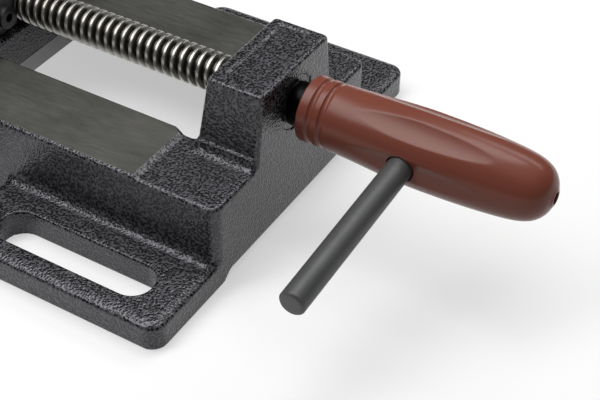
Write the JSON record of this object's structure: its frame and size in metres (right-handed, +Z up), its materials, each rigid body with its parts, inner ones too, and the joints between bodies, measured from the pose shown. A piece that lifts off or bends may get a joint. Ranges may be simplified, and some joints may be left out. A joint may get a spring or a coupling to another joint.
{
  "type": "drill press vise",
  "caption": "Drill press vise: cast base with slotted ears, a screw-driven jaw sliding on milled ways, steel jaw plates, a moulded grip and a sliding tommy bar.",
  "frame": {"origin": "middle of the base's underside, midway between the clamping slots", "axes": "+X along the lead screw towards the grip, +Y across the base, +Z up from the machine table"},
  "size_m": [0.3415, 0.19, 0.072],
  "materials": {
    "cast_body": "black hammertone paint, milled bare on the ways",
    "jaw_plate_steel": "ground",
    "screw_steel": "rolled thread, oiled",
    "nut_bronze": "turned",
    "plain_steel": "sawn and ground",
    "black_fastener": "black oxide",
    "zinc_fastener": "zinc plated",
    "brown_grip": "moulded, glossy",
    "black_bar": "black oxide, satin"
  },
  "bodies": {
    "frame": {"base_casting": "cast_body", "screw_nut": "nut_bronze", "nut_lock_screw": "black_fastener", "fixed_jaw_plate": "jaw_plate_steel", "fixed_plate_screws": "black_fastener"},
    "jaw": {"moving_jaw": "cast_body", "moving_jaw_plate": "jaw_plate_steel", "moving_plate_screws": "black_fastener", "thrust_pad": "jaw_plate_steel", "retainer_plate": "plain_steel", "retainer_screws": "black_fastener", "keeper_plate": "plain_steel", "keeper_flat_washers": "zinc_fastener", "keeper_lock_washers": "zinc_fastener", "keeper_bolts": "zinc_fastener"},
    "screw": {"lead_screw": "screw_steel", "handle_grip": "brown_grip"},
    "bar": {"tommy_bar": "black_bar"}
  },
  "joints": [
    {"name": "jaw_slide", "type": "slide", "parent": "frame", "child": "jaw", "axis": [1, 0, 0], "range_m": [0, 0.1]},
    {"name": "screw_turn", "type": "hinge", "parent": "jaw", "child": "screw", "pos_m": [0, 0, 0.0525], "axis": [1, 0, 0], "range_deg": [0, 9000.5]},
    {"name": "tommy_bar_slide", "type": "slide", "parent": "screw", "child": "bar", "axis": [0, 0.9979, 0.0645], "range_m": [0, 0.072]}
  ],
  "couplings": [
    {"joint": "screw_turn", "follows": "jaw_slide", "rad_per_m": 1570.8}
  ]
}
